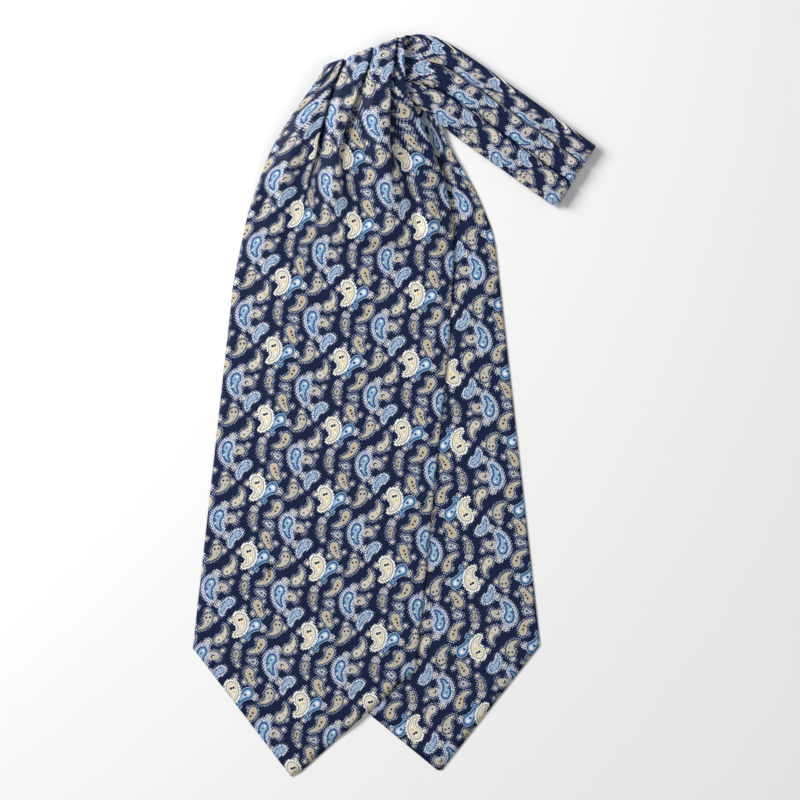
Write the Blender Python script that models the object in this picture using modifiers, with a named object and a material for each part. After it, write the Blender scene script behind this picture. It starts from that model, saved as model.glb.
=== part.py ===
# Silk cravat, laid flat and folded at the centre back of its neckband.
# The strip is 150 mm wide. Each end opens into a pointed blade, and the middle
# is laid in three knife pleats. The front blade folds over the neckband and
# lies on the back blade.
# Units are metres. +X is across, +Y runs up towards the gather, +Z is up.

import bmesh
import bpy
import numpy as np

# Cloth
STRIP_WIDTH = 0.150      # flat width of the strip
WALL = 0.0010            # silk folded on itself, with its lining silk
GAP = 0.0003             # clearance between pieces
PITCH = WALL + GAP       # from one piece's wall to the next
LAYER = 0.0015           # from one pleat layer to the next
TURN = LAYER / 2.0       # radius of a pleat fold, at the middle of the wall

# Pleats, a row each. Edge is the fold that shows on the front blade, as a share
# of the gathered width, and depth is how far the cloth runs back under it.
# Columns: edge and depth on the blade, edge and depth on the neckband.
PLEATS = [
    (0.185, 0.165, 0.354, 0.301),
    (0.535, 0.240, 0.663, 0.261),
    (0.865, 0.240, 0.947, 0.235),
]
GATHERED_WIDTH = 0.058   # width of the pleated strip along the diagonal fold
BAND_WIDTH = 0.0475      # width of the pleated neckband
OPEN_RISE = 2.2          # how much a pleat lofts where it starts to open

# The upper length, from the folded end of the neckband to the front blade, a
# row for each section. The left end of a section is on the lower edge of the
# band and the left edge of the blade.
# Columns: left x, y, z, right x, y, z, and how far the middle crowns above them.
BAND_SECTIONS = [
    (0.1055, 0.1342, 0.0061, 0.1315, 0.1752, 0.0061, 0.0),
    (0.0700, 0.1593, 0.0061, 0.0900, 0.2050, 0.0061, 0.0),
    (0.0420, 0.1794, 0.0064, 0.0570, 0.2280, 0.0062, 0.0),
    (0.0310, 0.1880, 0.0071, 0.0395, 0.2395, 0.0066, 0.0),
    (0.0220, 0.1955, 0.0073, 0.0300, 0.2447, 0.0066, 0.0),
    (0.0080, 0.2030, 0.0074, 0.0225, 0.2470, 0.0058, 0.0),
    (-0.0100, 0.2095, 0.0068, 0.0160, 0.2478, 0.0050, 0.0),
]
ROLL_SECTIONS = [
    (-0.0290, 0.2160, 0.0044, 0.0120, 0.2471, 0.0052, 0.0),
    (-0.0400, 0.2215, 0.0034, 0.0095, 0.2468, 0.0066, 0.0),
    (-0.0452, 0.2252, 0.0048, 0.0078, 0.2462, 0.0088, 0.0),
    (-0.0458, 0.2256, 0.0080, 0.0072, 0.2447, 0.0112, 0.0),
    (-0.0470, 0.2225, 0.0102, 0.0070, 0.2405, 0.0130, 0.0002),
    (-0.0510, 0.2170, 0.0104, 0.0070, 0.2330, 0.0134, 0.0004),
]
BLADE_SECTIONS = [
    (-0.0600, 0.2045, 0.0080, 0.0080, 0.2154, 0.0126, 0.0030),
    (-0.0690, 0.1920, 0.0056, 0.0127, 0.2005, 0.0112, 0.0050),
    (-0.0791, 0.1759, 0.0034, 0.0205, 0.1835, 0.0090, 0.0060),
    (-0.0864, 0.1598, 0.0020, 0.0280, 0.1655, 0.0066, 0.0058),
    (-0.0925, 0.1437, 0.0012, 0.0345, 0.1460, 0.0046, 0.0046),
    (-0.0978, 0.1276, 0.0008, 0.0390, 0.1240, 0.0032, 0.0030),
    (-0.1025, 0.1069, 0.0005, 0.0399, 0.0980, 0.0022, 0.0015),
    (-0.1072, 0.0841, 0.0005, 0.0382, 0.0700, 0.0018, 0.0004),
    (-0.1100, 0.0600, 0.0005, 0.0370, 0.0450, 0.0018, 0.0),
]
FRONT_CORNERS = ((-0.1347, -0.1625), (0.0147, -0.1765))
FRONT_TIP = (-0.0677, -0.2502)

# The back blade, from its hidden gather under the front blade, same columns.
BACK_SECTIONS = [
    (-0.0110, 0.2140, 0.0024, 0.0330, 0.2395, 0.0026, 0.0),
    (-0.0220, 0.2000, 0.0024, 0.0318, 0.2180, 0.0027, 0.0),
    (-0.0360, 0.1860, 0.0018, 0.0312, 0.1960, 0.0026, 0.0),
    (-0.0480, 0.1720, 0.0011, 0.0347, 0.1790, 0.0022, 0.0),
    (-0.0580, 0.1570, 0.0006, 0.0440, 0.1612, 0.0012, 0.0),
    (-0.0660, 0.1410, 0.0005, 0.0540, 0.1445, 0.0006, 0.0),
    (-0.0710, 0.1250, 0.0005, 0.0610, 0.1290, 0.0005, 0.0),
    (-0.0745, 0.1050, 0.0005, 0.0670, 0.1109, 0.0005, 0.0),
    (-0.0757, 0.0800, 0.0005, 0.0712, 0.0765, 0.0005, 0.0),
]
BACK_CORNERS = ((-0.0523, -0.1772), (0.0978, -0.1605))
BACK_TIP = (0.0308, -0.2457)
BACK_RIPPLE = 0.0006     # soft folds at the hidden top of the back blade
RIPPLE_COUNT = 3

END_BEND_STEPS = 6       # sections round the folded end of the neckband
END_TUCK = 0.002         # cloth that runs back under the neckband's folded end
STEPS = 2                # sections made for each row of the upper length's tables
FRONT_POINT_STEPS = 8    # rows down to the front blade's pointed end
BACK_POINT_STEPS = 5
BACK_COLUMNS = 19
BLUNT = 0.02             # share of a blade's point that is rounded off
DRAPE_MARGIN = 0.010     # the front blade stays lifted this far past the back
DRAPE_RUN = 0.016        # and then comes down to the surface over this run

# The hidden lower stretch of the neckband is one rounded solid, layered at its
# edges. It thins where the back blade's gather lies on it.
LOWER_HEIGHTS = (0.0036, 0.0036, 0.0026, 0.0010)
LOWER_INSET = 0.0008
LOWER_LAYERS = 3
LAYER_NOTCH = 0.0003

SHARP_ANGLE = np.radians(50)
FRONT_COLOR = (0.030, 0.045, 0.115, 1.0)
BAND_COLOR = (0.034, 0.050, 0.125, 1.0)
BACK_COLOR = (0.028, 0.042, 0.108, 1.0)
HIDDEN_COLOR = (0.020, 0.030, 0.085, 1.0)


def smooth(value):
    value = min(max(value, 0.0), 1.0)
    return value * value * (3.0 - 2.0 * value)


def curve_through(rows, steps):
    """Points on a smooth curve through the rows, with steps between two rows."""
    rows = np.array(rows, dtype=float)
    padded = np.vstack([2 * rows[0] - rows[1], rows, 2 * rows[-1] - rows[-2]])
    points = []
    for i in range(1, len(padded) - 2):
        before, start, end, after = padded[i - 1:i + 3]
        for step in range(steps):
            t = step / steps
            points.append(0.5 * (2 * start + (end - before) * t
                                 + (2 * before - 5 * start + 4 * end - after) * t ** 2
                                 + (3 * start - before - 3 * end + after) * t ** 3))
    points.append(rows[-1])
    return np.array(points)


def pleated_path(width, band_share):
    """The gathered strip in section: across, height and cloth length so far."""
    across = [0.0]
    height = [LAYER]
    kinks = [np.radians(angle) for angle in (30.0, 90.0, 150.0)]
    for index, (blade_edge, blade_depth, band_edge, band_depth) in enumerate(PLEATS):
        edge = width * (blade_edge + (band_edge - blade_edge) * band_share)
        back = edge - width * (blade_depth + (band_depth - blade_depth) * band_share)
        across.append(edge - TURN - 0.001)
        height.append(LAYER)
        for angle in kinks:
            across.append(edge - TURN + TURN * np.sin(angle))
            height.append(TURN + TURN * np.cos(angle))
        for angle in kinks:
            across.append(back + TURN - TURN * np.sin(angle))
            height.append(-TURN + TURN * np.cos(angle))
        across.append(edge + 0.0005)
        height.append(-LAYER)
        if index + 1 < len(PLEATS):
            following = PLEATS[index + 1]
            next_edge = following[0] + (following[2] - following[0]) * band_share
            next_depth = following[1] + (following[3] - following[1]) * band_share
            across.append(width * (next_edge - next_depth) - TURN)
            height.append(LAYER)
    across.append(width)
    height.append(-LAYER * band_share)
    across = np.array(across)
    height = np.array(height)
    lengths = np.hypot(np.diff(across), np.diff(height))
    return across, height, np.concatenate([[0.0], np.cumsum(lengths)])


def pleated_section(width, band_share):
    """The same strip opened to any width between gathered and flat."""
    gathered = min(width, GATHERED_WIDTH + (BAND_WIDTH - GATHERED_WIDTH) * band_share)
    across, height, cloth = pleated_path(gathered, band_share)
    flat = cloth / cloth[-1] * STRIP_WIDTH
    closed = (STRIP_WIDTH - width) / (STRIP_WIDTH - gathered)
    closed = min(max(closed, 0.0), 1.0)
    if closed > 0.5:
        loft = 1.0 + (OPEN_RISE - 1.0) * smooth((1.0 - closed) * 2.0)
    else:
        loft = OPEN_RISE * smooth(closed * 2.0)
    place = (1.0 - closed) * flat + closed * across
    return place / place[-1], height * loft


def plain_section(width, columns):
    """A strip without overlaps, with soft ripples where it is narrow."""
    share = np.linspace(0.0, 1.0, columns)
    closed = min(max((STRIP_WIDTH - width) / (STRIP_WIDTH - BAND_WIDTH), 0.0), 1.0)
    ripple = BACK_RIPPLE * smooth(closed) * np.cos(2 * np.pi * RIPPLE_COUNT * share)
    return share, ripple


def sheet_rows(sections, section_at):
    """Rows of points of a pleated sheet through its sections."""
    left_run = np.gradient(sections[:, 0:3], axis=0)
    right_run = np.gradient(sections[:, 3:6], axis=0)
    rows = []
    for index, section in enumerate(sections):
        left = section[0:3]
        across = section[3:6] - left
        share, height = section_at(float(np.linalg.norm(across)), index)
        ends = []
        for run in (left_run[index], right_run[index]):
            normal = np.cross(run, across)
            ends.append(normal / np.linalg.norm(normal))
        row = []
        for position, lift in zip(share, height):
            normal = ends[0] * (1.0 - position) + ends[1] * position
            normal = normal / np.linalg.norm(normal)
            crown = section[6] * (1.0 - abs(2.0 * position - 1.0) ** 3)
            row.append(left + across * position + normal * (lift + crown))
        rows.append(row)
    return rows


def add_point(rows, corners, tip, steps):
    """Carry the last row of a blade down to its pointed end."""
    last = np.array(rows[-1])
    left = np.array(corners[0])
    right = np.array(corners[1])
    drop = np.array(tip) - (left + right) / 2.0
    spread = last[-1] - last[0]
    shares = [float(np.dot(point - last[0], spread) / np.dot(spread, spread)) for point in last]
    for step in range(1, steps + 1):
        along = step / steps
        row = []
        for share, start in zip(shares, last):
            point = max(0.0, min(1.0 - abs(2.0 * share - 1.0), 1.0 - BLUNT))
            end = left + (right - left) * share + drop * point
            place = start[:2] + (end - start[:2]) * along
            row.append(np.array([place[0], place[1], start[2] * (1 - along) + WALL / 2 * along]))
        rows.append(row)
    return rows


def outside_back(x, y):
    """Distance of a point past the back blade's left edge and lower left edge."""
    top = np.array(BACK_SECTIONS[-1][0:2])
    corner = np.array(BACK_CORNERS[0])
    tip = np.array(BACK_TIP)
    distances = []
    for start, end in ((top, corner), (corner, tip)):
        run = (end - start) / np.linalg.norm(end - start)
        offset = np.array([x, y]) - start
        distances.append(offset[1] * run[0] - offset[0] * run[1])
    return max(-distances[0], -distances[1])


def back_level(y):
    """Height of the middle of the back blade's wall, from its own sections."""
    ends = [(row[1] + row[4]) / 2.0 for row in BACK_SECTIONS]
    levels = [max(row[2], row[5]) for row in BACK_SECTIONS]
    return float(np.interp(y, ends[::-1], levels[::-1]))


def rest_back(rows):
    """Keep the back blade's ripples off the surface that it lies on."""
    for row in rows:
        for point in row:
            point[2] = max(point[2], WALL / 2)
    return rows


def rest_front(rows, first):
    """Keep the front blade above the back blade, and on the surface beside it."""
    for row in rows[first:]:
        for point in row:
            past = outside_back(point[0], point[1]) - DRAPE_MARGIN
            over = smooth(1.0 - past / DRAPE_RUN)
            rest = WALL / 2 + (back_level(point[1]) + PITCH - WALL / 2) * over
            point[2] = max(point[2], rest)
    return rows


def lower_stretch(name, color, collection):
    """A loft of rounded sections with a notch between the layers at each edge."""
    model = bmesh.new()
    rings = []
    for index, height in enumerate(LOWER_HEIGHTS):
        row = BAND_SECTIONS[index]
        left = np.array(row[0:2])
        right = np.array(row[3:5])
        across = (right - left) / np.linalg.norm(right - left)
        forward = np.array([-across[1], across[0]])
        if index == 0:
            left = left + forward * (END_TUCK + GAP)
            right = right + forward * (END_TUCK + GAP)
        profile = []
        for layer in range(2 * LOWER_LAYERS + 1):
            notch = LAYER_NOTCH if layer % 2 == 0 else 0.0
            profile.append((LOWER_INSET + notch, height * layer / (2 * LOWER_LAYERS)))
        ring = []
        for inset, z in profile:
            place = left + across * inset
            ring.append(model.verts.new((place[0], place[1], z)))
        for inset, z in reversed(profile):
            place = right - across * inset
            ring.append(model.verts.new((place[0], place[1], z)))
        rings.append(ring)
    for start, end in zip(rings, rings[1:]):
        for j in range(len(start)):
            k = (j + 1) % len(start)
            model.faces.new((start[j], start[k], end[k], end[j]))
    model.faces.new(rings[0][::-1])
    model.faces.new(rings[-1])
    bmesh.ops.recalc_face_normals(model, faces=model.faces)
    mesh = bpy.data.meshes.new(name)
    model.to_mesh(mesh)
    model.free()
    mesh.materials.append(silk(name, color))
    piece = bpy.data.objects.new(name, mesh)
    collection.objects.link(piece)


def cloth_object(name, rows, color, collection):
    """An open sheet from rows of points, thickened by Solidify."""
    columns = len(rows[0])
    points = [tuple(point) for row in rows for point in row]
    faces = []
    for i in range(len(rows) - 1):
        for j in range(columns - 1):
            a = i * columns + j
            faces.append((a, a + 1, a + columns + 1, a + columns))
    mesh = bpy.data.meshes.new(name)
    mesh.from_pydata(points, [], faces)
    mesh.shade_smooth()
    mesh.set_sharp_from_angle(angle=SHARP_ANGLE)
    piece = bpy.data.objects.new(name, mesh)
    piece.data.materials.append(silk(name, color))
    solidify = piece.modifiers.new("wall", "SOLIDIFY")
    solidify.thickness = WALL
    solidify.offset = 0.0
    collection.objects.link(piece)
    return piece


def silk(name, color):
    """Printed silk twill, seen from far enough away to be one colour."""
    material = bpy.data.materials.new(name + "_silk")
    material.use_nodes = True
    shader = material.node_tree.nodes["Principled BSDF"]
    shader.inputs["Base Color"].default_value = color
    shader.inputs["Roughness"].default_value = 0.5
    shader.inputs["Metallic"].default_value = 0.0
    return material


def end_bend(first, steps):
    """Sections round the folded end of the neckband, from below to above."""
    left = np.array(first[0:2])
    right = np.array(first[3:5])
    across = (right - left) / np.linalg.norm(right - left)
    out = np.array([across[1], -across[0]])
    top = first[2]
    bottom = LAYER + WALL / 2
    radius = (top - bottom) / 2.0
    tuck = (left - out * END_TUCK, right - out * END_TUCK)
    sections = [(*tuck[0], bottom, *tuck[1], bottom, 0.0)]
    for step in range(steps):
        angle = np.pi * (1.0 - step / steps)
        shift = out * radius * np.sin(angle)
        z = (top + bottom) / 2.0 + radius * np.cos(angle)
        place_left = left + shift
        place_right = right + shift
        sections.append((place_left[0], place_left[1], z, place_right[0], place_right[1], z, 0.0))
    return np.array(sections)


for item in list(bpy.data.objects):
    bpy.data.objects.remove(item, do_unlink=True)

cravat = bpy.data.collections.new("silk_cravat")
bpy.context.scene.collection.children.link(cravat)

# The upper length is one smooth ribbon. It is parted under the front blade,
# where the neckband's stretch ends and the blade's own stretch starts.
bend = end_bend(BAND_SECTIONS[0], END_BEND_STEPS)
ribbon = curve_through(BAND_SECTIONS + ROLL_SECTIONS + BLADE_SECTIONS, STEPS)
upper = np.vstack([bend, ribbon])
parting = len(bend) + STEPS * (len(BAND_SECTIONS) - 1)
roll_end = parting + STEPS * len(ROLL_SECTIONS)
regroup_start = parting - 4 * STEPS
regroup_end = parting


def upper_section(width, index):
    """The pleats regroup from the band's layout to the blade's before the roll."""
    share = 1.0 - smooth((index - regroup_start) / (regroup_end - regroup_start))
    return pleated_section(width, share)


upper_rows = sheet_rows(upper, upper_section)
band_rows = upper_rows[:parting + 1]
front_rows = upper_rows[parting:]
band_end = []
for before, point in zip(band_rows[-2], band_rows[-1]):
    step_back = before - point
    band_end.append(point + step_back * GAP / np.linalg.norm(step_back))
band_rows[-1] = band_end
cloth_object("neckband_upper", band_rows, BAND_COLOR, cravat)

front_rows = add_point(front_rows, FRONT_CORNERS, FRONT_TIP, FRONT_POINT_STEPS)
front_rows = rest_front(front_rows, roll_end - parting)
cloth_object("front_blade", front_rows, FRONT_COLOR, cravat)

back_part = curve_through(BACK_SECTIONS, 1)
back_rows = sheet_rows(back_part, lambda width, index: plain_section(width, BACK_COLUMNS))
back_rows = add_point(back_rows, BACK_CORNERS, BACK_TIP, BACK_POINT_STEPS)
cloth_object("back_blade", rest_back(back_rows), BACK_COLOR, cravat)

lower_stretch("neckband_lower", HIDDEN_COLOR, cravat)
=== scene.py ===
# A silk cravat laid flat on a pale table, folded at the centre back of its
# neckband. The front blade folds over the pleated neckband and lies across the
# back blade. Lengths are in metres, with +Y up towards the gather.

import math

import bpy
import numpy as np
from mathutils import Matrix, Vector


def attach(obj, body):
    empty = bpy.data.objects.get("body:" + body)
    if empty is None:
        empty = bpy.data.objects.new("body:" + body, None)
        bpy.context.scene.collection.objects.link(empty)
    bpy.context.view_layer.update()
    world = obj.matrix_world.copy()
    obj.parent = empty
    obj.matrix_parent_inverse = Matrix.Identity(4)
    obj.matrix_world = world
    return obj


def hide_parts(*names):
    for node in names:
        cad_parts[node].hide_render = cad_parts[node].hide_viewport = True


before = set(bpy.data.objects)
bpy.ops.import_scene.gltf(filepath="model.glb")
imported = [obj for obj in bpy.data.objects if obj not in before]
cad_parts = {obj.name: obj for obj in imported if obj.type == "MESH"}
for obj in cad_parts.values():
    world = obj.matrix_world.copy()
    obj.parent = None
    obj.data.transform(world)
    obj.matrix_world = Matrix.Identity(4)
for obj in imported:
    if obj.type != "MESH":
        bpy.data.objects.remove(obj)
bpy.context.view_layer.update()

# The back blade is one end of the strip of printed silk twill, lined with the
# same silk. It lies underneath, almost flat, and ends in a blunt point. Its top
# is gathered and hidden under the front blade.
STRIP_WIDTH = 0.150
WALL = 0.0008

# A section each, from the gather down: x, y, z of the left edge, then of the right
# edge, and how far the middle stands above the line between them.
BACK_SECTIONS = [
    (-0.0110, 0.2140, 0.0024, 0.0330, 0.2395, 0.0026, 0.0),
    (-0.0220, 0.2000, 0.0024, 0.0318, 0.2180, 0.0027, 0.0),
    (-0.0360, 0.1860, 0.0018, 0.0312, 0.1960, 0.0026, 0.0),
    (-0.0480, 0.1720, 0.0011, 0.0347, 0.1790, 0.0022, 0.0),
    (-0.0580, 0.1570, 0.0006, 0.0440, 0.1612, 0.0012, 0.0),
    (-0.0660, 0.1410, 0.0005, 0.0540, 0.1445, 0.0006, 0.0),
    (-0.0710, 0.1250, 0.0005, 0.0610, 0.1290, 0.0005, 0.0),
    (-0.0745, 0.1050, 0.0005, 0.0670, 0.1109, 0.0005, 0.0),
    (-0.0757, 0.0800, 0.0005, 0.0712, 0.0765, 0.0005, 0.0),
]
BACK_CORNERS = ((-0.0523, -0.1772), (0.0978, -0.1605))
BACK_TIP = (0.0308, -0.2457)
BACK_UP = (-0.1061, 0.9944)
BACK_COLUMNS = 81
BACK_SPACING = 0.004
BACK_HEM_STEPS = 44

# A crease each: its two ends in plan, half width, and lift, negative in a trough.
BACK_CREASES = [
    ((0.0255, 0.1910), (0.0350, 0.1380), 0.0040, -0.0008),
    ((0.0430, 0.1600), (0.0560, 0.0900), 0.0050, 0.0008),
    ((0.0600, 0.1050), (0.0680, 0.0350), 0.0045, 0.0006),
    ((-0.0500, 0.1300), (-0.0560, 0.0600), 0.0050, 0.0005),
]
BACK_RIPPLE = 0.0006
RIPPLE_COUNT = 3
RIPPLE_FADE = 0.1
BLUNT = 0.02
BACK_PRINT_START = (0.0352, 0.0648)

# A turned and pressed edge is thinner: shares of the wall at the edge and one point in.
EDGE_SHARES = (0.45, 0.85)
BAKE_MARGIN = 0.02


def smooth(value):
    """Ease from 0 to 1 without a corner at either end."""
    value = np.clip(value, 0.0, 1.0)
    return value * value * (3.0 - 2.0 * value)


def curve_through(sections, spacing):
    """Close sections on a smooth curve through the table's rows, and their row numbers."""
    table = np.array(sections, dtype=float)
    padded = np.vstack([2 * table[0] - table[1], table, 2 * table[-1] - table[-2]])
    made = []
    numbers = []
    for i in range(1, len(padded) - 2):
        before, start, end, after = padded[i - 1:i + 3]
        reach = max(np.linalg.norm((end - start)[0:3]), np.linalg.norm((end - start)[3:6]))
        steps = max(1, math.ceil(reach / spacing))
        for step in range(steps):
            t = step / steps
            made.append(0.5 * (2 * start + (end - before) * t
                               + (2 * before - 5 * start + 4 * end - after) * t ** 2
                               + (3 * start - before - 3 * end + after) * t ** 3))
            numbers.append(i - 1 + t)
    made.append(table[-1])
    numbers.append(len(table) - 1)
    return np.array(made), np.array(numbers)


def cloth_rows(sections, profiles):
    """Rows of points across the cloth: place and lift of each point in its section."""
    left_run = np.gradient(sections[:, 0:3], axis=0)
    right_run = np.gradient(sections[:, 3:6], axis=0)
    rows = []
    for section, before, after, (place, lift) in zip(sections, left_run, right_run, profiles):
        across = section[3:6] - section[0:3]
        left_normal = np.cross(before, across)
        left_normal = left_normal / np.linalg.norm(left_normal)
        right_normal = np.cross(after, across)
        right_normal = right_normal / np.linalg.norm(right_normal)
        normal = left_normal * (1 - place[:, None]) + right_normal * place[:, None]
        normal = normal / np.linalg.norm(normal, axis=1)[:, None]
        crown = section[6] * (1 - np.abs(2 * place - 1) ** 3)
        rows.append(section[0:3] + across * place[:, None] + normal * (lift + crown)[:, None])
    return rows


def pointed_end(last, corners, tip, steps):
    """Rows from the last one down to the blade's V-shaped hem."""
    left = np.array(corners[0])
    right = np.array(corners[1])
    drop = np.array(tip) - (left + right) / 2
    spread = last[-1] - last[0]
    share = (last - last[0]) @ spread / (spread @ spread)
    point = np.clip(1 - np.abs(2 * share - 1), 0, 1 - BLUNT)
    hem = left + (right - left) * share[:, None] + drop * point[:, None]
    rows = []
    for step in range(1, steps + 1):
        along = step / steps
        plan = last[:, 0:2] + (hem - last[:, 0:2]) * along
        level = last[:, 2] * (1 - along) + WALL / 2 * along
        rows.append(np.column_stack([plan, level]))
    return rows


def crease(rows, creases):
    """Lift the rows along soft ridges, and lower them along soft troughs."""
    for row in rows:
        for start, end, reach, lift in creases:
            run_of = np.array(end) - np.array(start)
            offset = row[:, 0:2] - np.array(start)
            share_of = np.clip(offset @ run_of / (run_of @ run_of), 0, 1)
            apart = np.linalg.norm(offset - share_of[:, None] * run_of, axis=1)
            row[:, 2] += lift * np.exp(-(apart / reach) ** 2)


def cloth_length(rows, across, hem_lengths):
    """Cloth length at each point, measured up along the cloth from the rows by the hem."""
    stack = np.array(rows)
    length = np.zeros(stack.shape[:2])
    length[-len(hem_lengths):] = hem_lengths
    for i in range(len(rows) - len(hem_lengths) - 1, -1, -1):
        apart = np.linalg.norm(stack[i] - stack[i + 1], axis=1)
        slid = across[i] - across[i + 1]
        length[i] = length[i + 1] + np.sqrt(np.maximum(apart ** 2 - slid ** 2, apart ** 2 / 2))
    return length


def bake_layout(across, length, corners, columns):
    """Places in a square for each face corner, with the cloth's two halves side by side."""
    mean = length.mean(axis=1)
    down = (mean[0] - mean) / (mean[0] - mean[-1])
    half = int(np.searchsorted(down, 0.5))
    row_of_face = np.arange(len(corners) // 4) // (columns - 1)
    second = np.repeat(row_of_face >= half, 4)
    row = corners // columns
    down_here = np.where(second, (down[row] - down[half]) / (1 - down[half]), down[row] / down[half])
    side = (across.ravel()[corners] / STRIP_WIDTH + 0.5) * (0.5 - 2 * BAKE_MARGIN)
    side += np.where(second, 0.5 + BAKE_MARGIN, BAKE_MARGIN)
    return np.column_stack([side, BAKE_MARGIN + (1 - 2 * BAKE_MARGIN) * down_here])


def thicken(piece, count, columns):
    """Give the shell its wall, thinner at the turned and pressed edges."""
    edge = np.ones((count, columns))
    for inset, share in enumerate(EDGE_SHARES):
        edge[:, inset] = share
        edge[:, -1 - inset] = share
    edge[-1] = EDGE_SHARES[0]
    group = piece.vertex_groups.new(name="thickness")
    for share in np.unique(edge):
        group.add(np.flatnonzero(edge.ravel() == share).tolist(), float(share), "REPLACE")
    wall = piece.modifiers.new("wall", "SOLIDIFY")
    wall.thickness = WALL
    wall.offset = 0.0
    wall.vertex_group = "thickness"


def cloth_piece(name, rows, across, length, material, turned=None):
    """A thin shell, with the cloth's flat measure as one UV map and a bake layout as another.

    turned holds where the print starts on the first rows, its two signs and how many rows.
    """
    stack = np.array(rows)
    count, columns = stack.shape[:2]
    faces = []
    for i in range(count - 1):
        for j in range(columns - 1):
            a = i * columns + j
            faces.append((a, a + 1, a + columns + 1, a + columns))
    mesh = bpy.data.meshes.new(name)
    mesh.from_pydata(stack.reshape(-1, 3).tolist(), [], faces)
    corners = np.array(faces).ravel()
    cloth = np.column_stack([across.ravel(), length.ravel()])[corners]
    if turned:
        start, signs, turned_rows = turned
        first = np.repeat(np.arange(len(faces)) // (columns - 1) < turned_rows, 4)
        cloth[first] = np.array(start) + cloth[first] * signs
    mesh.uv_layers.new(name="cloth").data.foreach_set("uv", cloth.ravel())
    layout = bake_layout(across, length, corners, columns)
    mesh.uv_layers.new(name="OFBake").data.foreach_set("uv", layout.ravel())
    mesh.shade_smooth()
    mesh.materials.append(material)
    piece = bpy.data.objects.new(name, mesh)
    bpy.context.scene.collection.objects.link(piece)
    thicken(piece, count, columns)
    return piece


class Link:
    """A shader socket. Arithmetic on it adds Math nodes, and make adds any other node."""

    def __init__(self, tree, socket=None):
        self.tree = tree
        self.socket = socket

    def make(self, kind, settings, inputs, output=0):
        """A node of that kind: its settings first, then the values or links of its sockets."""
        node = self.tree.nodes.new("ShaderNode" + kind)
        for name, setting in settings.items():
            if name == "stops":
                elements = node.color_ramp.elements
                elements[0].position, elements[0].color = setting[0]
                elements[1].position, elements[1].color = setting[-1]
                for position, shade in setting[1:-1]:
                    elements.new(position).color = shade
            else:
                setattr(node, name, setting)
        for name, given in inputs.items():
            if isinstance(given, Link):
                self.tree.links.new(given.socket, node.inputs[name])
            else:
                node.inputs[name].default_value = given
        return Link(self.tree, node.outputs[output])

    def math(self, operation, *values, clamp=False):
        """This number and any others through a Math node."""
        given = dict(enumerate((self,) + values))
        return self.make("Math", {"operation": operation, "use_clamp": clamp}, given)

    def __add__(self, other):
        return self.math("ADD", other)

    def __sub__(self, other):
        return self.math("SUBTRACT", other)

    def __rsub__(self, other):
        return self.make("Math", {"operation": "SUBTRACT"}, {0: other, 1: self})

    def __mul__(self, other):
        return self.math("MULTIPLY", other)

    def vector(self, operation, *values, output=0):
        """This vector and any others through a Vector Math node."""
        given = dict(enumerate((self,) + values))
        return self.make("VectorMath", {"operation": operation}, given, output)

    def dot(self, x, y):
        """How far this vector reaches along a direction in plan."""
        return self.vector("DOT_PRODUCT", (x, y, 0), output=1)

    def under(self, shade, amount):
        """This colour with another laid over it."""
        return self.make("Mix", {"data_type": "RGBA"}, {0: amount, 6: self, 7: shade}, 2)


def dye(red, green, blue):
    """A colour as a shader needs it, from the shade seen by eye on a screen."""
    linear = [((c / 255 + 0.055) / 1.055) ** 2.4 if c > 10 else c / 255 / 12.92
              for c in (red, green, blue)]
    return (*linear, 1.0)


# The print is a small paisley on a navy ground, printed before the strip was cut.
# One repeat is a square, and every second column sits a little lower. Places and
# sizes are in millimetres of flat cloth, from the middle of a cream drop.
REPEAT = 46.17
COLUMN_DROP = 1.6
SLANT = 0.0143
FIRST_DROP = (0.9, 16.7)
ACROSS_SCALE = 0.99
NAVY = dye(20, 31, 62)
WHITE = dye(240, 241, 238)
CREAM = dye(224, 217, 206)
IVORY = dye(238, 232, 214)
GREIGE = dye(172, 168, 156)
TAUPE = dye(146, 146, 138)
STONE = dye(200, 198, 180)
PALE_PINK = dye(206, 194, 188)
PEACH = dye(206, 184, 158)
YELLOW = dye(222, 200, 130)
LAVENDER = dye(166, 176, 204)
SLATE = dye(104, 116, 146)
PALE_LAVENDER = dye(206, 214, 228)
SKY = dye(150, 178, 202)
MID_BLUE = dye(78, 122, 164)
DEEP_BLUE = dye(30, 80, 136)
INK = dye(18, 26, 46)

# Rings run inwards from a drop's outline: where each starts, and its dye.
CREAM_RINGS = [(0.0, WHITE), (1.1, GREIGE), (2.1, IVORY), (2.9, TAUPE), (3.2, IVORY), (4.6, CREAM)]
BLUE_RINGS = [(0.0, SKY), (0.6, DEEP_BLUE), (1.4, MID_BLUE), (1.8, SKY), (2.6, PALE_LAVENDER)]
STONE_RINGS = [(0.0, LAVENDER), (0.6, INK), (1.1, TAUPE), (1.5, STONE), (2.5, PALE_PINK)]
FEATHER_RINGS = [(0.0, LAVENDER), (0.5, PALE_LAVENDER), (1.3, DEEP_BLUE), (1.9, SKY), (2.7, LAVENDER)]
TAN_RINGS = [(0.0, LAVENDER), (0.6, INK), (1.1, STONE), (2.3, PEACH)]
TEAR_RINGS = [(0.0, LAVENDER), (0.6, INK), (1.1, STONE), (2.0, CREAM)]
EGG_RINGS = [(0.0, LAVENDER), (0.6, NAVY), (1.1, PALE_LAVENDER), (1.9, TAUPE)]
PETAL_RINGS = [(0.0, LAVENDER), (0.5, PALE_LAVENDER), (1.1, SLATE), (1.5, PALE_LAVENDER), (2.1, SLATE),
               (2.5, DEEP_BLUE), (3.3, MID_BLUE), (3.7, SKY)]
ROUND_RINGS = [(0.0, LAVENDER), (0.6, NAVY), (1.0, PALE_PINK), (2.2, STONE)]
TWIST_RINGS = [(0.0, LAVENDER), (0.6, INK), (1.0, TAUPE), (1.5, STONE), (2.2, TAUPE)]
BUD_RINGS = [(0.0, LAVENDER), (0.5, INK), (0.8, CREAM), (1.5, YELLOW)]
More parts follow.
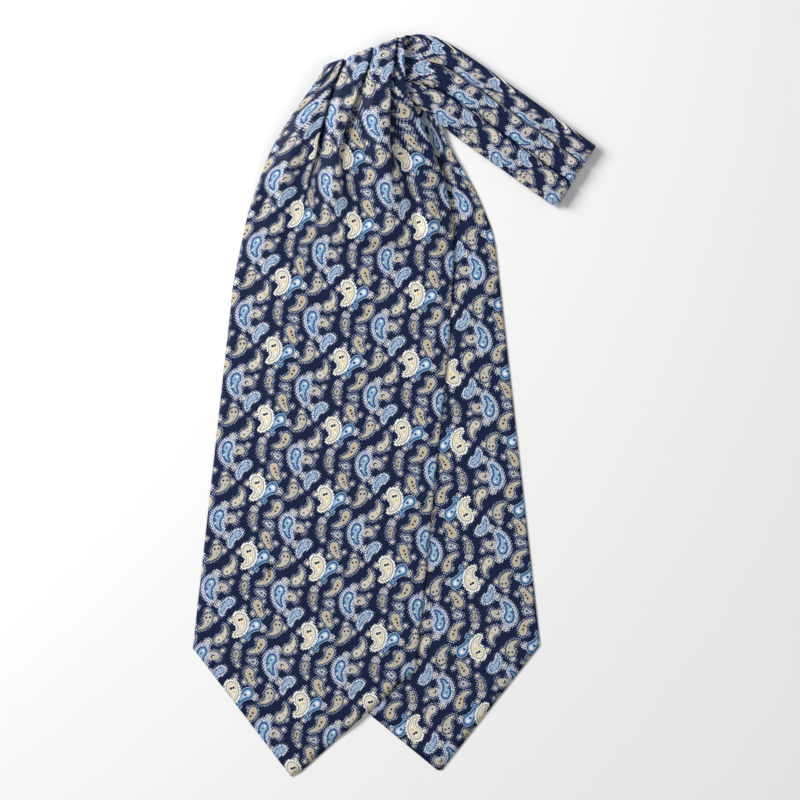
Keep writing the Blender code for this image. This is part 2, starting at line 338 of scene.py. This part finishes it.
FLOWER_RINGS = [(0.0, PALE_LAVENDER), (0.8, INK), (1.2, CREAM), (2.0, TAUPE)]

# A motif each: middle of its head, the way its tail leaves it in degrees, length,
# head and tail radius, degrees that the tail turns to the right, rings, depth of
# its scallops, and how far these carry into the rings. Then its buds (place,
# radius, rings) and its marks (place, radius, dye).
SMALL_MOTIFS = [
    ((-12.8, -10.4), 26, 11.0, 3.6, 1.1, -100, TEAR_RINGS, 1.2, 0.4,
     [((-8.2, -10.8), 1.7, BUD_RINGS)],
     [((-12.9, -10.8), 0.8, INK), ((-10.4, -8.7), 1.1, PEACH)]),
    ((11.6, -23.2), 172, 4.0, 2.7, 0.9, 20, EGG_RINGS, 1.2, 0.4, [],
     [((11.4, -23.1), 0.7, INK)]),
    ((-15.1, -22.0), 5, 0.8, 4.1, 3.5, 20, ROUND_RINGS, 1.5, 0.4,
     [((-9.3, -18.0), 1.9, BUD_RINGS)],
     [((-15.4, -22.0), 1.4, INK), ((-15.0, -22.3), 0.8, WHITE)]),
    ((-0.2, -18.8), -102, 4.8, 2.7, 2.1, -30, TWIST_RINGS, 1.4, 0.5,
     [((0.0, -14.6), 2.6, FLOWER_RINGS), ((1.7, -27.0), 1.9, BUD_RINGS)],
     [((-0.6, -19.8), 0.7, INK), ((-0.9, -22.4), 0.7, INK)]),
    ((9.6, 15.3), -80, 7.4, 3.7, 2.5, -34, TAN_RINGS, 1.3, 0.4,
     [((7.3, 8.6), 2.0, BUD_RINGS), ((13.4, 18.0), 1.5, BUD_RINGS), ((16.9, 11.4), 1.8, BUD_RINGS)],
     [((10.2, 14.4), 0.9, INK), ((11.3, 12.3), 0.9, INK), ((12.3, 10.6), 0.7, INK)]),
    ((15.2, -9.6), -89, 11.0, 3.5, 1.6, 85, TAN_RINGS, 1.0, 0.3,
     [((12.0, -8.1), 1.4, BUD_RINGS)],
     [((15.1, -11.0), 0.9, INK), ((14.0, -13.4), 0.9, INK), ((12.3, -15.2), 1.1, PEACH)]),
    ((24.5, 4.0), -79, 10.0, 4.0, 1.4, 95, STONE_RINGS, 1.2, 0.3,
     [((23.8, 8.7), 2.3, BUD_RINGS), ((29.2, 3.2), 2.3, BUD_RINGS)],
     [((23.4, 4.3), 0.9, INK), ((25.9, 4.5), 0.9, INK), ((24.9, 1.4), 0.8, TAUPE)]),
]
LARGE_MOTIFS = [
    ((23.6, -18.9), -116, 10.5, 5.6, 3.4, -72, PETAL_RINGS, 1.3, 0.35,
     [((26.4, -12.4), 2.7, FLOWER_RINGS), ((24.6, -32.6), 1.5, BUD_RINGS)],
     [((22.9, -19.8), 0.8, DEEP_BLUE), ((21.6, -22.4), 0.8, DEEP_BLUE), ((24.1, -17.9), 0.8, WHITE),
      ((21.6, -24.6), 0.7, WHITE), ((22.0, -26.4), 0.6, DEEP_BLUE)]),
    ((-8.9, 14.6), 201, 9.5, 3.6, 1.7, -85, FEATHER_RINGS, 1.1, 0.35,
     [((-16.2, 13.4), 2.4, FLOWER_RINGS)],
     [((-8.2, 15.0), 0.6, DEEP_BLUE), ((-10.4, 13.9), 0.5, DEEP_BLUE)]),
    ((10.4, 1.4), -144, 8.4, 3.9, 1.3, -36, BLUE_RINGS, 0.2, 0.0,
     [((15.0, 0.0), 2.3, FLOWER_RINGS), ((3.0, -10.0), 1.8, BUD_RINGS), ((5.3, -7.9), 2.1, BLUE_RINGS)],
     [((8.8, 0.2), 1.1, DEEP_BLUE), ((10.9, 2.0), 1.0, WHITE), ((5.3, -7.9), 0.8, SKY)]),
    ((-0.5, 3.4), -44, 12.0, 5.3, 2.0, 112, CREAM_RINGS, 0.7, 0.0,
     [((1.3, 11.9), 1.4, BUD_RINGS), ((0.8, 9.6), 1.9, BUD_RINGS), ((-6.5, 2.6), 2.1, BUD_RINGS)],
     [((-1.0, 3.2), 1.1, INK), ((0.6, 3.9), 1.0, INK), ((1.3, 1.0), 1.2, YELLOW)]),
]

# Insets are how far a point lies inside a drop's outline. Outlines and marks are
# soft by a fraction of a millimetre, and a bud has one scallop depth and wobble.
INSET_SPAN = 6.0
RING_EDGE = 0.1
SHARPNESS = 5.0
MARK_SHARPNESS = 3.0
OUTLINE = 0.3
BUD_SCALLOP = 1.1
BUD_WOBBLE = 0.4

# Scallops and specks come from two crossed waves each, given in radians for each
# millimetre to the right and up. The navy specks break up the small drops.
SCALLOP_WAVES = ((3.0, 0.9), (-0.8, 2.8))
SPECK_WAVES = ((3.3, -6.1), (6.4, 2.9))
SPECK_GAIN = 2.0
SPECK_FLOOR = 0.3
SPECKLE = 0.55

# The twill's ribs run at 45 degrees to the strip, in radians for each millimetre.
TWILL_WAVE = 9.0
TWILL_DEPTH = 0.0001
TWILL_STRENGTH = 0.15
SILK_ROUGHNESS = 0.5
SILK_SPECULAR = 0.12


def ring_stops(rings):
    """Ramp stops that change from ring to ring over a short stretch."""
    stops = [(0.0, rings[0][1])]
    for (start, shade), (before, previous) in zip(rings[1:], rings[:-1]):
        stops.append(((start - RING_EDGE) / INSET_SPAN, previous))
        stops.append(((start + RING_EDGE) / INSET_SPAN, shade))
    return stops + [(1.0, rings[-1][1])]


def crossed(right, up, waves):
    """The product of two sine waves that cross the cloth."""
    first, second = [(right * across + up * along).math("SINE") for across, along in waves]
    return first * second


def lay_rings(design, inset, beads, rings, scallop, wobble):
    """A shape's rings laid over the design inside its scalloped outline."""
    wavy = beads * wobble + inset if wobble else inset
    shades = inset.make("ValToRGB", {"stops": ring_stops(rings)}, {0: wavy * (1 / INSET_SPAN)})
    return design.under(shades, (beads * scallop + inset).math("MULTIPLY", SHARPNESS, clamp=True))


def draw_motif(design, place, beads, motif):
    """One drop of the print, with its buds behind it and its marks on it."""
    head, way, length, head_radius, tail_radius, turns, rings, scallop, wobble, buds, marks = motif
    angle = math.radians(way)
    ahead = (math.cos(angle), math.sin(angle))
    inside = math.copysign(1, turns)
    bend = length / math.radians(abs(turns))
    inward = (math.sin(angle) * inside, -math.cos(angle) * inside)
    centre = (head[0] + bend * inward[0], head[1] + bend * inward[1], 0)
    near = place.vector("SUBTRACT", centre).vector("WRAP", (REPEAT / 2,) * 3, (-REPEAT / 2,) * 3)

    def inset_of(spot, radius):
        offset = (spot[0] - centre[0], spot[1] - centre[1], 0)
        return radius - near.vector("DISTANCE", offset, output=1)

    for spot, radius, bud_rings in buds:
        design = lay_rings(design, inset_of(spot, radius), beads, bud_rings, BUD_SCALLOP, BUD_WOBBLE)
    along = near.dot(*ahead).math("ARCTAN2", near.dot(-inward[0], -inward[1])) * (bend / length)
    side = (near.vector("LENGTH", output=1) - bend).math("ABSOLUTE")
    taper = (head_radius - tail_radius) / length
    lean = taper / math.sqrt(1 - taper ** 2) / length
    nearest = (along - side * lean).math("MULTIPLY", 1, clamp=True)
    off = (along - nearest) * length
    distance = (side * side + off * off).math("SQRT")
    inset = head_radius + OUTLINE - nearest * (head_radius - tail_radius) - distance
    design = lay_rings(design, inset, beads, rings, scallop, wobble)
    for spot, radius, shade in marks:
        design = design.under(shade, inset_of(spot, radius).math("MULTIPLY", MARK_SHARPNESS, clamp=True))
    return design


def printed_silk(name):
    """Silk twill with the print on both faces, read from the cloth's own measure."""
    material = bpy.data.materials.new(name)
    material.use_nodes = True
    tree = material.node_tree
    shader = tree.nodes["Principled BSDF"]
    shader.inputs["Roughness"].default_value = SILK_ROUGHNESS
    shader.inputs["Specular IOR Level"].default_value = SILK_SPECULAR
    cloth = Link(tree).make("UVMap", {"uv_map": "cloth"}, {}).vector("MULTIPLY", (1000, 1000, 0))
    right = cloth.dot(ACROSS_SCALE, -SLANT) - FIRST_DROP[0]
    up = cloth.dot(0, 1) - FIRST_DROP[1] + (right * (math.pi / REPEAT)).math("COSINE") * COLUMN_DROP
    place = right.make("CombineXYZ", {}, {0: right, 1: up})
    beads = crossed(right, up, SCALLOP_WAVES)
    specks = crossed(right, up, SPECK_WAVES) * SPECK_GAIN
    design = place.make("CombineColor", {}, dict(enumerate(NAVY[:3])))
    for motif in SMALL_MOTIFS:
        design = draw_motif(design, place, beads, motif)
    design = design.under(NAVY, specks.math("SUBTRACT", SPECK_FLOOR, clamp=True) * SPECKLE)
    for motif in LARGE_MOTIFS:
        design = draw_motif(design, place, beads, motif)
    tree.links.new(design.socket, shader.inputs["Base Color"])
    twill = cloth.dot(TWILL_WAVE, TWILL_WAVE).math("SINE")
    bump = twill.make("Bump", {}, {"Strength": TWILL_STRENGTH, "Distance": TWILL_DEPTH, "Height": twill})
    tree.links.new(bump.socket, shader.inputs["Normal"])
    return material


silk = printed_silk("printed_silk")

back_sections, _ = curve_through(BACK_SECTIONS, BACK_SPACING)
share = np.linspace(0, 1, BACK_COLUMNS)
profiles = []
for section in back_sections:
    width = np.linalg.norm(section[3:6] - section[0:3])
    ripple = BACK_RIPPLE * smooth((STRIP_WIDTH - width) / RIPPLE_FADE)
    profiles.append((share, ripple * np.cos(2 * np.pi * RIPPLE_COUNT * share)))
back_rows = cloth_rows(back_sections, profiles)
back_flat = len(back_rows) - 1
back_rows += pointed_end(back_rows[-1], BACK_CORNERS, BACK_TIP, BACK_HEM_STEPS)
crease(back_rows, BACK_CREASES)
for row in back_rows:
    row[:, 2] = np.maximum(row[:, 2], WALL / 2)
back_across = np.array([(share - 0.5) * STRIP_WIDTH for row in back_rows])
back_middle = np.mean(BACK_CORNERS, axis=0)
hem_lengths = (np.array(back_rows[back_flat:])[:, :, 0:2] - back_middle) @ BACK_UP
back_length = cloth_length(back_rows, back_across, hem_lengths)
back_turned = (BACK_PRINT_START, (-1, -1), len(back_rows))
back_blade = cloth_piece("back_blade_silk", back_rows, back_across, back_length, silk, back_turned)
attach(back_blade, "root")
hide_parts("back_blade")

# The lower stretch of the neckband is the same strip laid in three knife pleats.
# It is pressed flat under the upper stretch and runs on into the back blade.
# The pleats are fully closed at the gathered width, and open in the flat strip.
GATHERED_WIDTH = 0.058
LAYER = 0.0015
TURN = LAYER / 2
OPEN_RISE = 2.2
PEEP = 0.0005

# A pleat each, at the gather: its middle in the flat strip, half the cloth that
# it hides, its depth when laid, and how far it wanders as it opens. Then, on the
# neckband: where the cloth goes under, where it comes out, and the depth. A pleat
# wanders no further once it is open by the share in WANDER.
PLEATS = [
    ((0.0332, 0.020, 0.0096, 0.018), (0.0168, 0.0509, 0.0143)),
    ((0.0884, 0.014, 0.0139, -0.026), (0.0656, 0.0943, 0.0124)),
    ((0.1320, 0.012, 0.0139, -0.022), (0.1078, 0.1475, 0.0112)),
]
WANDER = 0.55

# The columns of these sections are those of the back blade's, from the folded end
# of the neckband up to the gather. The heights are of the lower stretch's top.
BAND_SECTIONS = [
    (0.1055, 0.1342, 0.0061, 0.1315, 0.1752, 0.0061, 0.0),
    (0.0700, 0.1593, 0.0061, 0.0900, 0.2050, 0.0061, 0.0),
    (0.0420, 0.1794, 0.0064, 0.0570, 0.2280, 0.0062, 0.0),
    (0.0310, 0.1880, 0.0071, 0.0395, 0.2395, 0.0066, 0.0),
    (0.0220, 0.1955, 0.0073, 0.0300, 0.2447, 0.0066, 0.0),
    (0.0080, 0.2030, 0.0074, 0.0225, 0.2470, 0.0058, 0.0),
    (-0.0100, 0.2095, 0.0068, 0.0160, 0.2478, 0.0050, 0.0),
]
LOWER_HEIGHTS = (0.0036, 0.0036, 0.0026, 0.0014)
BAND_SPACING = 0.005

# Laid pleats are sharp. As the strip opens, their folds are eased over a longer
# reach, which grows from one share closed and over a further share.
CREASED_REACH = 0.0003
OPEN_REACH = 0.006
OPEN_FROM = 0.85
OPEN_OVER = 0.7

# Mesh steps along a run, up to the next pleat and round a fold, and how many steps
# beside a fold still count as cloth that shows.
RUN_STEPS = 16
RISE_STEPS = 8
TURN_STEPS = 6
PEEP_STEPS = 3


def run(start, end, steps):
    """Points of a straight run of cloth in section, without its last one."""
    t = np.arange(steps) / steps
    return [start[0] + (end[0] - start[0]) * t, start[1] + (end[1] - start[1]) * t]


def turn(centre, side):
    """Points round a fold, from its upper layer to its lower one."""
    angle = np.pi * np.arange(TURN_STEPS) / TURN_STEPS
    return [centre[0] + side * TURN * np.sin(angle), centre[1] + TURN * np.cos(angle)]


def pleated_path(width, closed, band_share):
    """The strip in section: across, height, and where each point is in the flat strip."""
    rows = []
    shown = 0.0
    emerged = 0.0
    for (middle, half, depth, drift), (band_fold, band_emerge, band_depth) in PLEATS:
        middle = middle + drift * min(1 - closed, WANDER)
        fold = middle - half * closed
        fold += (band_fold - fold) * band_share
        shown += fold - emerged
        emerged = middle + half * closed
        emerged += (band_emerge - emerged) * band_share
        rows.append((shown, depth * closed + (band_depth - depth * closed) * band_share, fold, emerged))
    scale = width / (shown + STRIP_WIDTH - emerged)
    parts = []
    flat = []
    start = (0.0, LAYER)
    before = 0.0
    for index, (edge, depth, gone, emerged) in enumerate(rows):
        edge = edge * scale
        fold = edge - TURN
        back = edge - depth + TURN
        under = (edge + PEEP, -LAYER)
        parts.append(run(start, (fold, LAYER), RUN_STEPS))
        parts.append(turn((fold, TURN), 1))
        parts.append(run((fold, 0.0), (back, 0.0), RUN_STEPS))
        parts.append(turn((back, -TURN), -1))
        parts.append(run((back, -LAYER), under, RUN_STEPS))
        if index + 1 < len(rows):
            start = (rows[index + 1][0] * scale - rows[index + 1][1] - TURN, LAYER)
            parts.append(run(under, start, RISE_STEPS))
        flat.append((before, gone, RUN_STEPS + (RISE_STEPS + PEEP_STEPS if index else 0)))
        flat.append((gone, emerged, 2 * RUN_STEPS + 2 * TURN_STEPS - PEEP_STEPS))
        before = emerged
    parts.append(run(under, (width, -LAYER * band_share), RUN_STEPS))
    flat.append((before, STRIP_WIDTH, RUN_STEPS + PEEP_STEPS))
    across = np.concatenate([part[0] for part in parts] + [[width]])
    height = np.concatenate([part[1] for part in parts] + [[-LAYER * band_share]])
    steps = np.hypot(np.diff(across), np.diff(height))
    along = np.concatenate([[0.0], np.cumsum(steps)])
    places = np.cumsum([0] + [count for _, _, count in flat])
    cloth = np.interp(along, along[places], [stretch[0] for stretch in flat] + [STRIP_WIDTH])
    return across, height, cloth


def soften(values, cloth, reach):
    """Average along the cloth within about reach, keeping both edges where they are."""
    spacing = np.gradient(cloth)
    weight = np.exp(-0.5 * ((cloth[:, None] - cloth[None, :]) / reach) ** 2) * spacing
    eased = (weight @ values) / weight.sum(axis=1)
    t = cloth / cloth[-1]
    return eased + (values[0] - eased[0]) * (1 - t) + (values[-1] - eased[-1]) * t


def pleated_section(width, band_share):
    """The strip opened to any width between gathered and flat: place, lift, cloth share."""
    closed = float(np.clip((STRIP_WIDTH - width) / (STRIP_WIDTH - GATHERED_WIDTH), 0, 1))
    across, height, flat = pleated_path(width, closed, band_share)
    if closed > 0.5:
        loft = 1 + (OPEN_RISE - 1) * smooth((1 - closed) * 2)
    else:
        loft = OPEN_RISE * smooth(closed * 2)
    place = across / width
    share = flat / STRIP_WIDTH
    reach = CREASED_REACH + OPEN_REACH * float(smooth((OPEN_FROM - closed) / OPEN_OVER))
    eased = soften(place - share, flat, reach) + share
    return eased, soften(height * loft, flat, reach), share


lower_count = len(LOWER_HEIGHTS)
under_sections, numbers = curve_through(BAND_SECTIONS[:lower_count], BAND_SPACING)
under_height = np.interp(numbers, range(lower_count), LOWER_HEIGHTS)
profiles = []
shares = []
for section, height in zip(under_sections, under_height):
    section[[2, 5]] = height / 2
    width = np.linalg.norm(section[3:6] - section[0:3])
    place, lift, share = pleated_section(width, 1.0)
    profiles.append((place, -lift * (height - WALL) / (2 * LAYER)))
    shares.append(share)
under_rows = cloth_rows(under_sections, profiles)
under_across = (np.array(shares) - 0.5) * STRIP_WIDTH
under_length = cloth_length(under_rows, under_across, np.zeros((1, under_across.shape[1])))
neckband_under = cloth_piece("neckband_under_silk", under_rows, under_across, under_length, silk)
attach(neckband_under, "root")
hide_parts("neckband_lower")

# The upper stretch is one length of pleated silk. It turns over at the folded
# end of the neckband, runs up to the gather, rolls over and forwards, and opens
# from its pleats into the front blade, which ends in a blunt point.
ROLL_SECTIONS = [
    (-0.0290, 0.2160, 0.0044, 0.0120, 0.2471, 0.0052, 0.0),
    (-0.0400, 0.2215, 0.0034, 0.0095, 0.2468, 0.0066, 0.0),
    (-0.0452, 0.2252, 0.0048, 0.0078, 0.2462, 0.0088, 0.0),
    (-0.0458, 0.2256, 0.0080, 0.0072, 0.2447, 0.0112, 0.0),
    (-0.0470, 0.2225, 0.0102, 0.0070, 0.2405, 0.0130, 0.0002),
    (-0.0510, 0.2170, 0.0104, 0.0070, 0.2330, 0.0134, 0.0004),
]
BLADE_SECTIONS = [
    (-0.0600, 0.2045, 0.0080, 0.0080, 0.2154, 0.0126, 0.0030),
    (-0.0690, 0.1920, 0.0056, 0.0127, 0.2005, 0.0112, 0.0050),
    (-0.0791, 0.1759, 0.0034, 0.0205, 0.1835, 0.0090, 0.0060),
    (-0.0864, 0.1598, 0.0020, 0.0280, 0.1655, 0.0066, 0.0058),
    (-0.0925, 0.1437, 0.0012, 0.0345, 0.1460, 0.0046, 0.0046),
    (-0.0978, 0.1276, 0.0008, 0.0390, 0.1240, 0.0032, 0.0030),
    (-0.1025, 0.1069, 0.0005, 0.0399, 0.0980, 0.0022, 0.0015),
    (-0.1072, 0.0841, 0.0005, 0.0382, 0.0700, 0.0018, 0.0004),
    (-0.1100, 0.0600, 0.0005, 0.0370, 0.0450, 0.0018, 0.0),
]
FRONT_CREASES = [
    ((-0.0480, 0.1930), (-0.0625, 0.1520), 0.0045, -0.0024),
    ((-0.0700, 0.1640), (-0.0780, 0.1330), 0.0040, 0.0014),
    ((-0.0840, 0.1420), (-0.0960, 0.1170), 0.0038, -0.0014),
    ((-0.0330, 0.1710), (-0.0420, 0.1270), 0.0055, 0.0016),
    ((-0.0200, 0.1800), (-0.0215, 0.1180), 0.0045, -0.0016),
    ((-0.0060, 0.1710), (-0.0015, 0.1140), 0.0050, 0.0015),
    ((-0.0630, 0.1440), (-0.0730, 0.0975), 0.0050, -0.0011),
    ((0.0090, 0.1700), (0.0160, 0.1190), 0.0035, -0.0015),
    ((0.0210, 0.1500), (0.0270, 0.1000), 0.0040, 0.0011),
    ((-0.0420, 0.1150), (-0.0060, 0.1115), 0.0055, 0.0030),
    ((-0.0020, 0.1125), (0.0220, 0.1150), 0.0050, 0.0018),
]
FRONT_CORNERS = ((-0.1347, -0.1625), (0.0147, -0.1765))
FRONT_TIP = (-0.0677, -0.2502)
FRONT_UP = (0.0974, 0.9952)
FRONT_SPACING = 0.0026
FRONT_HEM_STEPS = 38
FRONT_PRINT_START = (0.0157, 0.5697)
END_TUCK = 0.002
END_BEND_STEPS = 12

# The pleats keep their places on the neckband up to one of its sections, and the
# print is turned as far as one of the roll's.
STRAIGHT_ROWS = 2
TURNED_ROLL_ROWS = 2

# The gather is pressed at its edge: the pleats stand lower there by a share, which
# fades over a little more than one section on each side.
ROLL_EDGE = 9.5
ROLL_PRESS = 0.45
ROLL_SPREAD = 1.2

# The front blade stays clear of the back blade and comes down to the table beside
# it, from a margin past its edge on and over a run.
CLEARANCE = 0.0005
DRAPE_MARGIN = 0.010
DRAPE_RUN = 0.016


def end_bend(first):
    """Sections round the folded end of the neckband, from below to above."""
    left = np.array(first[0:2])
    right = np.array(first[3:5])
    across = (right - left) / np.linalg.norm(right - left)
    out = np.array([across[1], -across[0]])
    top = first[2]
    bottom = LAYER + WALL / 2
    radius = (top - bottom) / 2
    sections = [[*(left - out * END_TUCK), bottom, *(right - out * END_TUCK), bottom, 0.0]]
    for step in range(END_BEND_STEPS):
        angle = math.pi * (1 - step / END_BEND_STEPS)
        shift = out * radius * math.sin(angle)
        z = (top + bottom) / 2 + radius * math.cos(angle)
        sections.append([*(left + shift), z, *(right + shift), z, 0.0])
    return np.array(sections)


def past_back(points):
    """How far points lie past the back blade's left edge and lower left edge."""
    distances = []
    for start, end in ((BACK_SECTIONS[-1][0:2], BACK_CORNERS[0]), (BACK_CORNERS[0], BACK_TIP)):
        along = np.array(end) - np.array(start)
        along = along / np.linalg.norm(along)
        offset = points[:, 0:2] - np.array(start)
        distances.append(offset[:, 0] * along[1] - offset[:, 1] * along[0])
    return np.maximum(distances[0], distances[1])


def drape(row):
    """Keep the front blade above the back blade, and on the table beside it."""
    ends = [(section[1] + section[4]) / 2 for section in BACK_SECTIONS]
    levels = [max(section[2], section[5]) for section in BACK_SECTIONS]
    level = np.interp(row[:, 1], ends[::-1], levels[::-1]) + WALL + CLEARANCE
    over = smooth(1 - (past_back(row) - DRAPE_MARGIN) / DRAPE_RUN)
    row[:, 2] = np.maximum(row[:, 2], WALL / 2 + (level - WALL / 2) * over)


band_count = len(BAND_SECTIONS)
roll_count = band_count + len(ROLL_SECTIONS)
bend = end_bend(BAND_SECTIONS[0])
ribbon, numbers = curve_through(BAND_SECTIONS + ROLL_SECTIONS + BLADE_SECTIONS, FRONT_SPACING)
upper = np.vstack([bend, ribbon])
numbers = np.concatenate([np.full(len(bend), -1.0), numbers])
turned_rows = int(np.searchsorted(numbers, band_count + TURNED_ROLL_ROWS))
blade_start = int(np.searchsorted(numbers, roll_count - 1))
profiles = []
shares = []
for section, number in zip(upper, numbers):
    width = float(np.linalg.norm(section[3:6] - section[0:3]))
    band_share = 1 - float(smooth((number - STRAIGHT_ROWS) / (band_count - 1 - STRAIGHT_ROWS)))
    place, lift, share = pleated_section(width, band_share)
    pressed = 1 - ROLL_PRESS * math.exp(-((number - ROLL_EDGE) / ROLL_SPREAD) ** 2)
    profiles.append((place, lift * pressed))
    shares.append(share)
upper_rows = cloth_rows(upper, profiles)
upper_flat = len(upper_rows) - 1
upper_rows += pointed_end(upper_rows[-1], FRONT_CORNERS, FRONT_TIP, FRONT_HEM_STEPS)
shares += [shares[-1]] * FRONT_HEM_STEPS
crease(upper_rows[blade_start:], FRONT_CREASES)
for index, row in enumerate(upper_rows):
    if index >= len(numbers) or numbers[index] >= roll_count - 1:
        drape(row)
upper_across = (np.array(shares) - 0.5) * STRIP_WIDTH
front_middle = np.mean(FRONT_CORNERS, axis=0)
hem_lengths = (np.array(upper_rows[upper_flat:])[:, :, 0:2] - front_middle) @ FRONT_UP
upper_length = cloth_length(upper_rows, upper_across, hem_lengths)
front_turned = (FRONT_PRINT_START, (1, -1), turned_rows)
front = cloth_piece("front_length_silk", upper_rows, upper_across, upper_length, silk, front_turned)
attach(front, "root")
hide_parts("neckband_upper", "front_blade")

# The table top is plain and pale, a hair below the cloth.
TABLE_SIZE = 6.0
TABLE_DROP = 0.0002
TABLE_COLOUR = (0.9, 0.9, 0.9, 1)
TABLE_ROUGHNESS = 0.8
bpy.ops.mesh.primitive_plane_add(size=TABLE_SIZE, location=(0.0, 0.0, -TABLE_DROP))
table = bpy.context.object
table.name = "table_top"
pale = bpy.data.materials.new("pale_table")
pale.use_nodes = True
surface = pale.node_tree.nodes["Principled BSDF"]
surface.inputs["Base Color"].default_value = TABLE_COLOUR
surface.inputs["Roughness"].default_value = TABLE_ROUGHNESS
table.data.materials.append(pale)

# Soft studio light comes from a broad lamp to the upper left, with a weaker one
# to the right. Each lamp has its name, place, size in metres and power in watts.
LAMPS = [
    ("key_lamp", (-1.3, 0.8, 1.1), 0.8, 41),
    ("fill_lamp", (1.0, -0.6, 1.6), 1.4, 9),
]
WORLD_STRENGTH = 0.22
for name, place, size, power in LAMPS:
    data = bpy.data.lights.new(name, "AREA")
    data.size = size
    data.energy = power
    holder = bpy.data.objects.new(name, data)
    holder.location = place
    holder.rotation_mode = "QUATERNION"
    holder.rotation_quaternion = (-Vector(place)).to_track_quat("-Z", "Y")
    bpy.context.scene.collection.objects.link(holder)
world = bpy.data.worlds.new("studio")
world.use_nodes = True
background = world.node_tree.nodes["Background"]
background.inputs["Color"].default_value = (1, 1, 1, 1)
background.inputs["Strength"].default_value = WORLD_STRENGTH
bpy.context.scene.world = world
bpy.context.scene.view_settings.view_transform = "Standard"

# The camera looks straight down on the middle of the photograph.
VIEW_MIDDLE = (0.0040, 0.0037)
VIEW_WIDTH = 0.536
LENS = 90.0
camera = bpy.data.cameras.new("camera")
camera.lens = LENS
holder = bpy.data.objects.new("camera", camera)
holder.location = (*VIEW_MIDDLE, VIEW_WIDTH * LENS / camera.sensor_width)
bpy.context.scene.collection.objects.link(holder)
bpy.context.scene.camera = holder
